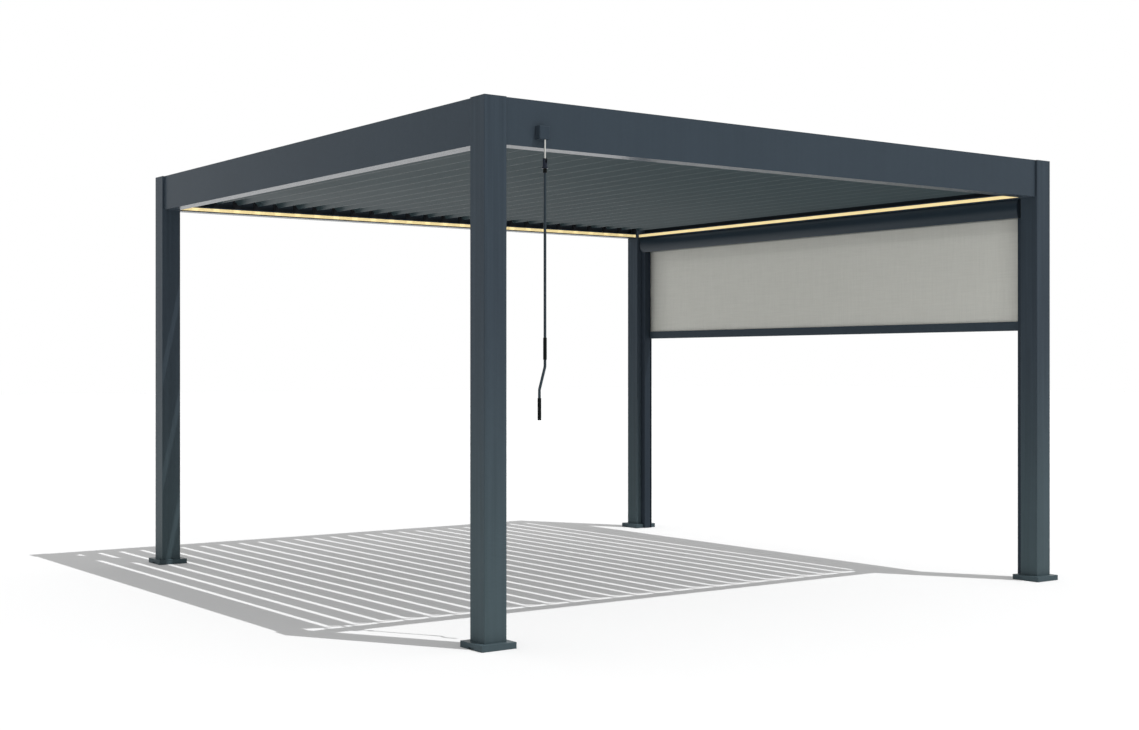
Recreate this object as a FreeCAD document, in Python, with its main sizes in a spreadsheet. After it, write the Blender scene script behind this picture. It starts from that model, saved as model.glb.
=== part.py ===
import FreeCAD, Part
import math
import os
import Sketcher

# Louvered pergola: four posts, a ring of gutter beams, a roof of turning louvres worked by a
# hand crank, light strips on the inner faces of the beams and one roller screen on the right side.
# Millimetres. The origin is on the floor at the middle of the plan; +X runs along the front
# beam towards the screen, +Y runs to the rear, +Z is up.

doc = FreeCAD.newDocument("pergola")
sheet = doc.addObject("Spreadsheet::Sheet", "sheet")

# Driving dimensions
SIZES = [
    # outside of the frame
    ("frame_length", 4000.0),
    ("frame_depth", 3920.0),
    ("frame_height", 2490.0),
    # posts and their feet
    ("post_side", 120.0),
    ("post_wall", 3.0),
    ("post_corner", 3.0),
    ("foot_side", 172.0),
    ("foot_plate", 8.0),
    ("foot_hole", 30.0),
    ("anchor_place", 73.0),
    ("anchor_radius", 5.5),
    ("inlet_width", 32.0),
    ("inlet_height", 26.0),
    ("post_top", 4.0),
    ("cover_side", 185.0),
    ("cover_height", 30.0),
    ("cover_wall", 3.0),
    ("drain_width", 44.0),
    ("drain_height", 10.0),
    # gutter beams
    ("beam_height", 216.0),
    ("beam_width", 90.0),
    ("beam_recess", 13.5),
    ("beam_skin", 3.0),
    ("chamber_width", 30.0),
    ("gutter_floor", 4.0),
    ("gutter_lip", 34.0),
    ("gutter_wall", 10.0),
    ("light_rise", 7.0),
    ("light_height", 20.0),
    ("light_depth", 4.0),
    # louvres
    ("louvre_count", 26),
    ("pivot_inset", 33.0),
    ("pivot_rise", 81.0),
    ("open_angle", 54.0),
    ("front_end", 140.0),
    ("rear_end", 126.0),
    ("blade_lap", 12.0),
    ("blade_right", 26.0),
    ("lip_reach", 22.0),
    ("box_right", 4.0),
    ("under_side", 9.0),
    ("shoulder", 6.0),
    ("crown", 14.0),
    ("lip_thick", 2.5),
    ("blade_wall", 2.0),
    ("cap_thick", 3.0),
    ("pivot_radius", 5.0),
    ("pin_short", 0.3),
    # link between the louvres
    ("link_reach", 45.0),
    ("link_angle", 45.0),
    ("link_radius", 4.0),
    ("ear_radius", 9.0),
    ("bar_height", 20.0),
    ("bar_thick", 6.0),
    ("bar_gap", 5.2),
    ("bar_end", 15.0),
    ("pin_proud", 2.0),
    # bearings on the gutter lip
    ("block_half", 15.0),
    ("block_rise", 12.0),
    ("block_corner", 7.0),
    ("heel_reach", 41.0),
    ("heel_height", 20.0),
    ("strip_height", 5.0),
    # crank drive
    ("gear_width", 56.0),
    ("gear_height", 62.0),
    ("gear_depth", 36.5),
    ("gear_rise", 36.0),
    ("gear_edge", 3.0),
    ("drive_before", 48.2692),
    ("drive_radius", 7.0),
    ("drive_hole", 8.5),
    ("arm_thick", 6.0),
    ("bore_depth", 15.0),
    ("crank_shift", 8.0),
    ("crank_front", 12.0),
    ("input_radius", 4.0),
    ("joint_drop", 86.0),
    ("joint_height", 46.0),
    ("joint_radius", 11.0),
    ("flange_radius", 15.0),
    ("flange_height", 7.0),
    ("axis_drop", 12.0),
    ("joint_pin", 3.0),
    ("slot_width", 9.0),
    ("eye_radius", 8.0),
    ("eye_thick", 7.0),
    ("eye_room", 2.0),
    ("collar_height", 20.0),
    ("collar_radius", 9.0),
    ("rod_radius", 6.5),
    ("rod_wall", 1.5),
    ("upper_grip_drop", 821.0),
    ("lower_grip_drop", 1097.0),
    ("grip_length", 101.0),
    ("grip_radius", 8.5),
    ("crank_offset", 31.0),
    ("bend_drop", 954.0),
    ("bend_length", 105.0),
    ("bend_radius", 40.0),
    # roller screen
    ("cassette_height", 114.0),
    ("cassette_depth", 100.0),
    ("cassette_bulge", 16.0),
    ("cassette_inset", 108.0),
    ("cassette_wall", 3.0),
    ("cassette_slot", 10.0),
    ("roller_radius", 21.5),
    ("roller_wall", 3.5),
    ("stub_radius", 6.0),
    ("cassette_gap_front", 38.0),
    ("cassette_gap_rear", 15.0),
    ("guide_inner", 58.0),
    ("guide_outer", 10.0),
    ("guide_depth", 50.0),
    ("guide_slot", 8.0),
    ("guide_wall", 3.0),
    ("fabric_tuck", 12.0),
    ("screen_inset", 25.0),
    ("fabric_thick", 1.0),
    ("fabric_drop", 620.0),
    ("bottom_bar_height", 55.0),
    ("bottom_bar_depth", 24.0),
    ("bottom_bar_wall", 2.0),
    ("bottom_bar_gap", 5.0),
    # clearances
    ("seat_gap", 0.3),
    ("running_gap", 0.08),
    ("cut_over", 1.0),
]
for row, (alias, value) in enumerate(SIZES, start=1):
    sheet.set("A%d" % row, alias)
    sheet.set("B%d" % row, str(value))
    sheet.setAlias("B%d" % row, alias)
doc.recompute()


def size(alias):
    return float(sheet.get(alias))


def cell(text):
    """Turn each '@word' into a reference to the cell of that name."""
    return text.replace("@", "sheet.")


def tie(obj, prop, expression):
    obj.setExpression(prop, cell(expression))


def new_body(label):
    body = doc.addObject("PartDesign::Body", label)
    body.Label = label
    return body


def place(obj, x, y, z, axis=(0.0, 0.0, 1.0), turn=0.0, angle=None):
    """Put an object at three expressions, turned about an axis by degrees or by an expression."""
    start = 10.0 if angle else turn
    rotation = FreeCAD.Rotation(FreeCAD.Vector(*axis), start)
    obj.Placement = FreeCAD.Placement(FreeCAD.Vector(), rotation)
    for prop, expression in (("x", x), ("y", y), ("z", z)):
        tie(obj, "Placement.Base." + prop, expression)
    if angle:
        tie(obj, "Placement.Rotation.Angle", angle)


def add_sketch(body, role, offset="0"):
    """Sketch on one of the body's own origin planes, moved along the plane's normal."""
    plane = [item for item in body.Origin.OriginFeatures if item.Role == role][0]
    sketch = body.newObject("Sketcher::SketchObject", body.Name + "_sketch")
    sketch.AttachmentSupport = [(plane, "")]
    sketch.MapMode = "FlatFace"
    if offset != "0":
        tie(sketch, "AttachmentOffset.Base.z", offset)
    return sketch


def worth(expression):
    return float(sheet.evalExpression(cell(expression)))


def fix(sketch, kind, geometry, corner, expression):
    """Hold one coordinate of a point at an expression measured from the sketch's origin."""
    if expression == "0":
        axis = -2 if kind == "DistanceX" else -1
        sketch.addConstraint(Sketcher.Constraint("PointOnObject", geometry, corner, axis))
        return
    distance = Sketcher.Constraint(kind, -1, 1, geometry, corner, worth(expression))
    number = sketch.addConstraint(distance)
    tie(sketch, "Constraints[%d]" % number, expression)


def arc_between(start, end, radius, turn):
    """Minor arc from start to end; turn is +1 when the path runs anticlockwise, else -1."""
    chord = end - start
    middle = (start + end) * 0.5
    rise = math.sqrt(max(radius ** 2 - (chord.Length / 2) ** 2, 0.0))
    side = FreeCAD.Vector(-chord.y, chord.x, 0).normalize()
    centre = middle + side * (rise * turn)
    first, last = (start, end) if turn > 0 else (end, start)
    angles = [math.atan2(point.y - centre.y, point.x - centre.x) for point in (first, last)]
    circle = Part.Circle(centre, FreeCAD.Vector(0, 0, 1), radius)
    return Part.ArcOfCircle(circle, angles[0], angles[1])


def outline(sketch, corners, closed=True):
    """Draw lines through corners given as pairs of expressions. A corner with two more entries,
    a radius and a turning sense, starts an arc to the next corner."""
    points = [FreeCAD.Vector(worth(corner[0]), worth(corner[1]), 0) for corner in corners]
    pieces = []
    for index, corner in enumerate(corners):
        if index == len(corners) - 1 and not closed:
            break
        start = points[index]
        end = points[(index + 1) % len(points)]
        if len(corner) > 2:
            geometry = sketch.addGeometry(arc_between(start, end, worth(corner[2]), corner[3]))
            ends = (1, 2) if corner[3] > 0 else (2, 1)
        else:
            geometry = sketch.addGeometry(Part.LineSegment(start, end))
            ends = (1, 2)
        pieces.append((geometry, ends[0], ends[1]))
    joins = zip(pieces, pieces[1:] + pieces[:1]) if closed else zip(pieces, pieces[1:])
    for (one, _, one_end), (other, other_start, _) in joins:
        sketch.addConstraint(Sketcher.Constraint("Coincident", one, one_end, other, other_start))
    for index, corner in enumerate(corners):
        if index < len(pieces):
            geometry, vertex = pieces[index][0], pieces[index][1]
        else:
            geometry, vertex = pieces[-1][0], pieces[-1][2]
        fix(sketch, "DistanceX", geometry, vertex, corner[0])
        fix(sketch, "DistanceY", geometry, vertex, corner[1])
        if len(corner) > 2:
            number = sketch.addConstraint(Sketcher.Constraint("Radius", geometry, worth(corner[2])))
            tie(sketch, "Constraints[%d]" % number, corner[2])


def rectangle(sketch, left, right, low, high):
    outline(sketch, [(left, low), (right, low), (right, high), (left, high)])


def round_hole(sketch, x, y, radius):
    centre = FreeCAD.Vector(worth(x), worth(y), 0)
    circle = Part.Circle(centre, FreeCAD.Vector(0, 0, 1), worth(radius))
    geometry = sketch.addGeometry(circle)
    fix(sketch, "DistanceX", geometry, 3, x)
    fix(sketch, "DistanceY", geometry, 3, y)
    number = sketch.addConstraint(Sketcher.Constraint("Radius", geometry, worth(radius)))
    tie(sketch, "Constraints[%d]" % number, radius)


def extrude(body, sketch, length, kind="Pad", back=False, both=False):
    """Pad or pocket a sketch; back turns the direction round, both spreads it to either side."""
    feature = body.newObject("PartDesign::" + kind, body.Name + "_" + kind.lower())
    feature.Profile = sketch
    feature.Reversed = back
    if both:
        feature.Midplane = True
    tie(feature, "Length", length)
    body.Tip = feature
    return feature


def repeat_along(body, feature, spacing, count):
    """Repeat a feature along the body's own X axis."""
    axis = [item for item in body.Origin.OriginFeatures if item.Role == "X_Axis"][0]
    pattern = body.newObject("PartDesign::LinearPattern", body.Name + "_pattern")
    pattern.Originals = [feature]
    pattern.Direction = (axis, [""])
    tie(pattern, "Length", "%s * (%s - 1)" % (spacing, count))
    tie(pattern, "Occurrences", count)
    body.Tip = pattern
    return pattern


def gather(label, parts):
    """One named piece made of several solids that belong together."""
    compound = doc.addObject("Part::Compound", label)
    compound.Label = label
    compound.Links = parts
    return compound


pieces = []

# Sizes that follow from the driving ones
PITCH = "((@frame_length - 2 * @beam_recess - 2 * @beam_width) / @louvre_count)"
FIRST_X = "(@beam_recess + @beam_width + %s - @pivot_inset - @frame_length / 2)" % PITCH
PIVOT_Z = "(@frame_height - @beam_height + @pivot_rise)"
DRIVE_X = "(%s + %s - @drive_before)" % (FIRST_X, PITCH)
BLADE_LEFT = "(%s + @blade_lap - @blade_right)" % PITCH
BOX_LEFT = "(%s - @lip_reach)" % BLADE_LEFT
GEAR_BOTTOM = "(@frame_height - @beam_height + @gear_rise)"
JOINT_TOP = "(%s - @joint_drop)" % GEAR_BOTTOM
JOINT_AXIS = "(%s - @axis_drop)" % JOINT_TOP
BEND_TOP = "(%s - @bend_drop)" % JOINT_TOP
BEND_BOTTOM = "(%s - @bend_length)" % BEND_TOP
FABRIC_BOTTOM = "(@frame_height - @beam_height - @cassette_height - @fabric_drop)"

# Posts: square tubes with a closed top, welded to a foot plate with anchor holes, and with
# openings at the gutters so that the water runs down inside
POST_X = "(@frame_length - @post_side) / 2"
POST_Y = "(@frame_depth - @post_side) / 2"
CORNERS = [
    ("front_left", "-" + POST_X, "-" + POST_Y, 0.0),
    ("rear_left", "-" + POST_X, POST_Y, 0.0),
    ("front_right", POST_X, "-" + POST_Y, 180.0),
    ("rear_right", POST_X, POST_Y, 180.0),
]


def square(sketch, side):
    half = "(%s) / 2" % side
    rectangle(sketch, "-" + half, half, "-" + half, half)


def upright_edges(shape, side):
    """Names of the vertical edges that stand on the corners of a square of this side."""
    names = []
    for number, edge in enumerate(shape.Edges, start=1):
        box = edge.BoundBox
        straight = box.XLength < 0.01 and box.YLength < 0.01
        middle = edge.CenterOfMass
        if straight and min(abs(middle.x), abs(middle.y)) > side / 2 - 0.01:
            if max(abs(middle.x), abs(middle.y)) < side / 2 + 0.01:
                names.append("Edge%d" % number)
    return names


def gutter_inlet(post, role, offset, back):
    """Opening in a wall of the post where the gutter of a beam drains into it."""
    inlet = add_sketch(post, role, offset)
    floor = "@frame_height - @beam_height + @gutter_floor"
    rectangle(inlet, "-@inlet_width / 2", "@inlet_width / 2", floor, floor + " + @inlet_height")
    extrude(post, inlet, "@post_wall + @cut_over", "Pocket", back=back)


for corner, x, y, turn in CORNERS:
    post = new_body("post_" + corner)
    tube = add_sketch(post, "XY_Plane", "@foot_plate")
    square(tube, "@post_side")
    extrude(post, tube, "@frame_height - @foot_plate")
    doc.recompute()
    blank = post.Tip
    rounding = post.newObject("PartDesign::Fillet", post.Name + "_rounding")
    rounding.Base = (blank, upright_edges(blank.Shape, size("post_side")))
    tie(rounding, "Radius", "@post_corner")
    post.Tip = rounding
    inside = add_sketch(post, "XY_Plane", "@foot_plate")
    square(inside, "@post_side - 2 * @post_wall")
    extrude(post, inside, "@frame_height - @foot_plate - @post_top", "Pocket", back=True)
    foot = add_sketch(post, "XY_Plane")
    square(foot, "@foot_side")
    round_hole(foot, "0", "0", "@foot_hole")
    for across in ("-@anchor_place", "@anchor_place"):
        for along in ("-@anchor_place", "@anchor_place"):
            round_hole(foot, across, along, "@anchor_radius")
    extrude(post, foot, "@foot_plate")
    wall = "@post_side / 2 - @post_wall"
    gutter_inlet(post, "YZ_Plane", wall, True)
    if corner in ("front_left", "rear_right"):
        gutter_inlet(post, "XZ_Plane", "-(%s)" % wall, False)
    else:
        gutter_inlet(post, "XZ_Plane", wall, True)
    place(post, x, y, "0", turn=turn)
    pieces.append(post)

# Base covers: pressed shells that hide the foot plates, with a drain notch on the outer side
for corner, x, y, turn in CORNERS:
    cover = new_body("base_cover_" + corner)
    block = add_sketch(cover, "XY_Plane")
    square(block, "@cover_side")
    square(block, "@post_side + 2 * @seat_gap")
    extrude(cover, block, "@cover_height")
    hollow = add_sketch(cover, "XY_Plane")
    square(hollow, "@cover_side - 2 * @cover_wall")
    extrude(cover, hollow, "@cover_height - @cover_wall", "Pocket", back=True)
    drain = add_sketch(cover, "YZ_Plane", "-@cover_side / 2")
    rectangle(drain, "-@drain_width / 2", "@drain_width / 2", "-@cut_over", "@drain_height")
    extrude(cover, drain, "@cover_wall + @cut_over", "Pocket", back=True)
    place(cover, x, y, "0", turn=turn)
    pieces.append(cover)

# Beams: a closed chamber on the outside and an open gutter behind it, with a groove for the lights
BEAM_BOTTOM = "@frame_height - @beam_height"
LONG_SPAN = "@frame_length - 2 * @post_side"
SHORT_SPAN = "@frame_depth - 2 * @post_side"
BACK_X = "(@frame_length / 2 - @beam_recess)"
BACK_Y = "(@frame_depth / 2 - @beam_recess)"
SIDES = [
    ("front", "0", "-" + BACK_Y, 0.0, LONG_SPAN),
    ("rear", "0", BACK_Y, 180.0, LONG_SPAN),
    ("left", "-" + BACK_X, "0", -90.0, SHORT_SPAN),
    ("right", BACK_X, "0", 90.0, SHORT_SPAN),
]
GROOVE_DEPTH = "(@light_depth + @seat_gap)"
GROOVE_TOP = "@light_rise + @light_height + 2 * @seat_gap"

for side, x, y, turn, span in SIDES:
    beam = new_body("beam_" + side)
    section = add_sketch(beam, "YZ_Plane")
    outline(section, [
        ("0", "0"),
        ("@beam_width", "0"),
        ("@beam_width", "@light_rise"),
        ("@beam_width - " + GROOVE_DEPTH, "@light_rise"),
        ("@beam_width - " + GROOVE_DEPTH, GROOVE_TOP),
        ("@beam_width", GROOVE_TOP),
        ("@beam_width", "@gutter_lip"),
        ("@beam_width - @gutter_wall", "@gutter_lip"),
        ("@beam_width - @gutter_wall", "@gutter_floor"),
        ("@chamber_width", "@gutter_floor"),
        ("@chamber_width", "@beam_height"),
        ("0", "@beam_height"),
    ])
    rectangle(section, "@beam_skin", "@chamber_width - @beam_skin",
              "@gutter_floor", "@beam_height - @beam_skin")
    extrude(beam, section, span, both=True)
    if side == "front":
        opening = add_sketch(beam, "XZ_Plane", "@cut_over")
        round_hole(opening, DRIVE_X, "@pivot_rise", "@drive_hole")
        extrude(beam, opening, "@chamber_width + 2 * @cut_over", "Pocket")
    place(beam, x, y, BEAM_BOTTOM, turn=turn)
    pieces.append(beam)

# Light strips set in the groove along the inner face of each beam
for side, x, y, turn, span in SIDES:
    light = new_body("light_" + side)
    section = add_sketch(light, "YZ_Plane")
    low = "@light_rise + @seat_gap"
    rectangle(section, "@beam_width - @light_depth", "@beam_width", low, low + " + @light_height")
    extrude(light, section, span + " - 2 * @seat_gap", both=True)
    place(light, x, y, BEAM_BOTTOM, turn=turn)
    pieces.append(light)

# Bearing strips on the gutter lips: a rail with one bored block and its heel for each louvre
LIP_HEIGHT = "(@gutter_lip - @pivot_rise)"
LIP_FACE = "@beam_recess + @beam_width"
RAIL_END = PITCH + " * (@louvre_count - 1) + @block_half"
HEEL_TOP = LIP_HEIGHT + " + @heel_height"

for side, place_y in (("front", LIP_FACE + " - @frame_depth / 2"),
                      ("rear", "@frame_depth / 2 - @beam_recess - @beam_width + @gutter_wall")):
    bearings = new_body("pivot_blocks_" + side)
    rail = add_sketch(bearings, "XZ_Plane")
    rectangle(rail, "-@heel_reach", RAIL_END, LIP_HEIGHT, LIP_HEIGHT + " + @strip_height")
    extrude(bearings, rail, "@gutter_wall")
    holder = add_sketch(bearings, "XZ_Plane")
    outline(holder, [
        ("-@block_half", LIP_HEIGHT + " + @strip_height / 2"),
        ("@heel_reach", LIP_HEIGHT + " + @strip_height / 2"),
        ("@heel_reach", HEEL_TOP + " - @block_corner"),
        ("@heel_reach - @block_corner", HEEL_TOP),
        ("@block_half", HEEL_TOP),
        ("@block_half", "@block_rise - @block_corner"),
        ("@block_half - @block_corner", "@block_rise"),
        ("@block_corner - @block_half", "@block_rise"),
        ("-@block_half", "@block_rise - @block_corner"),
    ])
    round_hole(holder, "0", "0", "@pivot_radius + @running_gap")
    first = extrude(bearings, holder, "@gutter_wall")
    repeat_along(bearings, first, PITCH, "@louvre_count")
    past_end = add_sketch(bearings, "XZ_Plane", "@gutter_wall + @cut_over")
    rectangle(past_end, RAIL_END, RAIL_END + " + @heel_reach", LIP_HEIGHT + " - @cut_over",
              HEEL_TOP + " + @cut_over")
    extrude(bearings, past_end, "@gutter_wall + 2 * @cut_over", "Pocket")
    place(bearings, FIRST_X, place_y, PIVOT_Z)
    pieces.append(bearings)

# Louvres: a hollow blade with a ridged top, a low lip with a round bead on one edge and a high
# lip on the other, so that each closed blade laps over its neighbour; end caps carry the pivot
# and link pins
BLADE_OUTLINE = [
    ("-" + BOX_LEFT, "-@under_side"),
    ("@blade_right - @lip_thick", "-@under_side", "@lip_thick", 1),
    ("@blade_right", "@lip_thick - @under_side", "@lip_thick", 1),
    ("@blade_right - @lip_thick", "2 * @lip_thick - @under_side", "@lip_thick", 1),
    ("@blade_right - 2 * @lip_thick", "@lip_thick - @under_side"),
    ("@box_right", "@lip_thick - @under_side"),
    ("@box_right", "@shoulder"),
    ("(@box_right - %s) / 2" % BOX_LEFT, "@crown"),
    ("-" + BOX_LEFT, "@shoulder"),
    ("-" + BLADE_LEFT, "@shoulder"),
    ("-" + BLADE_LEFT, "@shoulder - @lip_thick"),
    ("-" + BOX_LEFT, "@shoulder - @lip_thick"),
]
FRONT_FACE = "(@front_end - @frame_depth / 2)"
REAR_FACE = "(@frame_depth / 2 - @rear_end)"
LUG_FRONT = "(@front_end - @seat_gap - @cap_thick)"
BAR_FRONT = "(%s - @bar_gap - @bar_thick)" % LUG_FRONT
ARM_FRONT = "(%s - @bar_gap - @arm_thick)" % BAR_FRONT
HALF_DEPTH = "@frame_depth / 2"


def stadium(sketch, radius):
    """Flat link outline round the pivot and a point at the link reach along +X."""
    outline(sketch, [
        ("0", "-" + radius),
        ("@link_reach", "-" + radius, radius, 1),
        ("@link_reach + " + radius, "0", radius, 1),
        ("@link_reach", radius),
        ("0", radius, radius, 1),
        ("-" + radius, "0", radius, 1),
    ])


blade = new_body("blade")
section = add_sketch(blade, "XZ_Plane", "-(%s + @cap_thick + @seat_gap)" % FRONT_FACE)
outline(section, BLADE_OUTLINE)
outline(section, [
    ("@blade_wall - " + BOX_LEFT, "@blade_wall - @under_side"),
    ("@box_right - @blade_wall", "@blade_wall - @under_side"),
    ("@box_right - @blade_wall", "@shoulder - @blade_wall"),
    ("(@box_right - %s) / 2" % BOX_LEFT, "@crown - @blade_wall"),
    ("@blade_wall - " + BOX_LEFT, "@shoulder - @blade_wall"),
])
extrude(blade, section, "@frame_depth - @front_end - @rear_end - 2 * @cap_thick - 2 * @seat_gap",
        back=True)

front_cap = new_body("front_cap")
plate = add_sketch(front_cap, "XZ_Plane", "-" + FRONT_FACE)
outline(plate, BLADE_OUTLINE)
extrude(front_cap, plate, "@cap_thick", back=True)

front_lug = new_body("front_lug")
LUG_BACK = "@frame_depth / 2 - @front_end + @seat_gap"
arm = add_sketch(front_lug, "XZ_Plane", LUG_BACK)
stadium(arm, "@ear_radius")
extrude(front_lug, arm, "@cap_thick")
pivot = add_sketch(front_lug, "XZ_Plane", LUG_BACK)
round_hole(pivot, "0", "0", "@pivot_radius")
extrude(front_lug, pivot,
        "@front_end - @seat_gap - @beam_recess - @beam_width + @gutter_wall - @pin_short")
link = add_sketch(front_lug, "XZ_Plane", LUG_BACK)
round_hole(link, "@link_reach", "0", "@link_radius")
extrude(front_lug, link, "@cap_thick + @bar_gap + @bar_thick + @pin_proud")
place(front_lug, "0", "0", "0", axis=(0.0, -1.0, 0.0), angle="180 - @link_angle")

rear_cap = new_body("rear_cap")
plate = add_sketch(rear_cap, "XZ_Plane", "-" + REAR_FACE)
outline(plate, BLADE_OUTLINE)
extrude(rear_cap, plate, "@cap_thick")
pivot = add_sketch(rear_cap, "XZ_Plane", "-" + REAR_FACE)
round_hole(pivot, "0", "0", "@pivot_radius")
extrude(rear_cap, pivot,
        "@rear_end - @beam_recess - @beam_width + @gutter_wall - @pin_short", back=True)

for number in range(int(size("louvre_count"))):
    louvre = gather("louvre_%02d" % (number + 1), [blade, front_cap, front_lug, rear_cap])
    place(louvre, "%s + %d * %s" % (FIRST_X, number, PITCH), "0", PIVOT_Z,
          axis=(0.0, 1.0, 0.0), angle="@open_angle")
    pieces.append(louvre)

# Link bar: a flat bar bored for the link pin of every louvre and for the drive arm
LINK_X = "@link_reach * cos(180 - @link_angle - @open_angle)"
LINK_Z = "@link_reach * sin(180 - @link_angle - @open_angle)"

bar = new_body("tie_bar")
flat = add_sketch(bar, "XZ_Plane")
rectangle(flat, "-@bar_end", PITCH + " * (@louvre_count - 1) + @bar_end",
          "-@bar_height / 2", "@bar_height / 2")
round_hole(flat, PITCH + " - @drive_before", "0", "@link_radius + @running_gap")
extrude(bar, flat, "@bar_thick", back=True)
bore = add_sketch(bar, "XZ_Plane")
round_hole(bore, "0", "0", "@link_radius + @running_gap")
drilled = extrude(bar, bore, "@bar_thick", "Pocket")
repeat_along(bar, drilled, PITCH, "@louvre_count")
place(bar, "%s + %s" % (FIRST_X, LINK_X), "%s - %s" % (BAR_FRONT, HALF_DEPTH),
      PIVOT_Z + " + " + LINK_Z)
pieces.append(bar)

# Drive arm: a shaft from the gearbox through the front beam, with an arm that moves the link bar
drive = new_body("drive_arm")
arm = add_sketch(drive, "XZ_Plane", "%s - %s - @arm_thick" % (HALF_DEPTH, ARM_FRONT))
stadium(arm, "@ear_radius")
extrude(drive, arm, "@arm_thick")
shaft = add_sketch(drive, "XZ_Plane", "%s - %s" % (HALF_DEPTH, ARM_FRONT))
round_hole(shaft, "0", "0", "@drive_radius")
extrude(drive, shaft, "%s - @beam_recess + @bore_depth - @seat_gap" % ARM_FRONT)
pin = add_sketch(drive, "XZ_Plane", "%s - %s - @arm_thick" % (HALF_DEPTH, ARM_FRONT))
round_hole(pin, "@link_reach", "0", "@link_radius")
extrude(drive, pin, "@bar_gap + @bar_thick + @pin_proud", back=True)
place(drive, DRIVE_X, "0", PIVOT_Z, axis=(0.0, -1.0, 0.0),
      angle="180 - @link_angle - @open_angle")
pieces.append(drive)

# Gearbox on the front beam, bored for the drive shaft and for the crank's input pin
GEAR_BACK = "(@frame_depth / 2 - @beam_recess)"

gearbox = new_body("crank_gearbox")
case = add_sketch(gearbox, "XY_Plane", GEAR_BOTTOM)
rectangle(case, DRIVE_X + " - @gear_width / 2", DRIVE_X + " + @gear_width / 2",
          "-(%s + @gear_depth)" % GEAR_BACK, "-" + GEAR_BACK)
extrude(gearbox, case, "@gear_height")
doc.recompute()
blank = gearbox.Tip
front_y = blank.Shape.BoundBox.YMin
names = []
for number, edge in enumerate(blank.Shape.Edges, start=1):
    if edge.BoundBox.YMax < front_y + 0.01:
        names.append("Edge%d" % number)
softened = gearbox.newObject("PartDesign::Chamfer", "gearbox_edges")
softened.Base = (blank, names)
tie(softened, "Size", "@gear_edge")
gearbox.Tip = softened
bore = add_sketch(gearbox, "XZ_Plane", GEAR_BACK)
round_hole(bore, DRIVE_X, PIVOT_Z, "@drive_radius + @running_gap")
extrude(gearbox, bore, "@bore_depth", "Pocket", back=True)
CRANK_X = DRIVE_X + " + @crank_shift"
CRANK_Y = "-(@frame_depth / 2 + @crank_front)"
bore = add_sketch(gearbox, "XY_Plane", GEAR_BOTTOM)
round_hole(bore, CRANK_X, CRANK_Y, "@input_radius + @running_gap")
extrude(gearbox, bore, "@bore_depth", "Pocket", back=True)
pieces.append(gearbox)

# Crank: input pin with an eye, forked joint on a flange, collar, cranked rod and two grips.
# Each piece is drawn round the pin's own axis
input_pin = new_body("crank_pin")
eye = add_sketch(input_pin, "YZ_Plane")
round_hole(eye, "0", JOINT_AXIS, "@eye_radius")
extrude(input_pin, eye, "@eye_thick", both=True)
stem = add_sketch(input_pin, "XY_Plane", JOINT_AXIS)
round_hole(stem, "0", "0", "@input_radius")
extrude(input_pin, stem, "@axis_drop + @joint_drop + @bore_depth - @seat_gap")
bore = add_sketch(input_pin, "YZ_Plane", "-@joint_radius")
round_hole(bore, "0", JOINT_AXIS, "@joint_pin + @running_gap")
extrude(input_pin, bore, "2 * @joint_radius", "Pocket", back=True)
place(input_pin, CRANK_X, CRANK_Y, "0")
pieces.append(input_pin)

fork = new_body("crank_joint")
barrel = add_sketch(fork, "XY_Plane", JOINT_TOP + " - @joint_height")
round_hole(barrel, "0", "0", "@joint_radius")
extrude(fork, barrel, "@joint_height")
flange = add_sketch(fork, "XY_Plane", JOINT_TOP + " - @joint_height")
round_hole(flange, "0", "0", "@flange_radius")
extrude(fork, flange, "@flange_height")
slot = add_sketch(fork, "YZ_Plane", "-@slot_width / 2")
rectangle(slot, "-2 * @joint_radius", "2 * @joint_radius",
          JOINT_AXIS + " - @eye_radius - @eye_room", JOINT_TOP + " + @cut_over")
extrude(fork, slot, "@slot_width", "Pocket", back=True)
cross = add_sketch(fork, "YZ_Plane")
round_hole(cross, "0", JOINT_AXIS, "@joint_pin")
extrude(fork, cross, "2 * @joint_radius - 2 * @cut_over", both=True)
place(fork, CRANK_X, CRANK_Y, "0")
pieces.append(fork)

COLLAR_TOP = "(%s - @joint_height)" % JOINT_TOP
collar = new_body("crank_collar")
ring = add_sketch(collar, "XY_Plane", COLLAR_TOP + " - @collar_height")
round_hole(ring, "0", "0", "@collar_radius")
round_hole(ring, "0", "0", "@rod_radius + @running_gap")
extrude(collar, ring, "@collar_height - @seat_gap")
place(collar, CRANK_X, CRANK_Y, "0")
pieces.append(collar)

rod = new_body("crank_rod")
LEAN = "atan(@crank_offset / @bend_length)"
TANGENT = "@bend_radius * tan(%s / 2)" % LEAN
UPPER_GRIP = "(%s - @upper_grip_drop)" % JOINT_TOP
LOWER_GRIP = "(%s - @lower_grip_drop)" % JOINT_TOP
ROD_END = LOWER_GRIP + " - @grip_length + @rod_wall"
path = add_sketch(rod, "XZ_Plane")
outline(path, [
    ("0", COLLAR_TOP),
    ("0", "%s + %s" % (BEND_TOP, TANGENT), "@bend_radius", -1),
    ("-%s * sin(%s)" % (TANGENT, LEAN), "%s - %s * cos(%s)" % (BEND_TOP, TANGENT, LEAN)),
    ("%s * sin(%s) - @crank_offset" % (TANGENT, LEAN),
     "%s + %s * cos(%s)" % (BEND_BOTTOM, TANGENT, LEAN), "@bend_radius", 1),
    ("-@crank_offset", "%s - %s" % (BEND_BOTTOM, TANGENT)),
    ("-@crank_offset", ROD_END),
], closed=False)
ring = add_sketch(rod, "XY_Plane", COLLAR_TOP)
round_hole(ring, "0", "0", "@rod_radius")
round_hole(ring, "0", "0", "@rod_radius - @rod_wall")
pipe = rod.newObject("PartDesign::AdditivePipe", "rod_pipe")
pipe.Profile = ring
pipe.Spine = (path, [""])
rod.Tip = pipe
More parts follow.
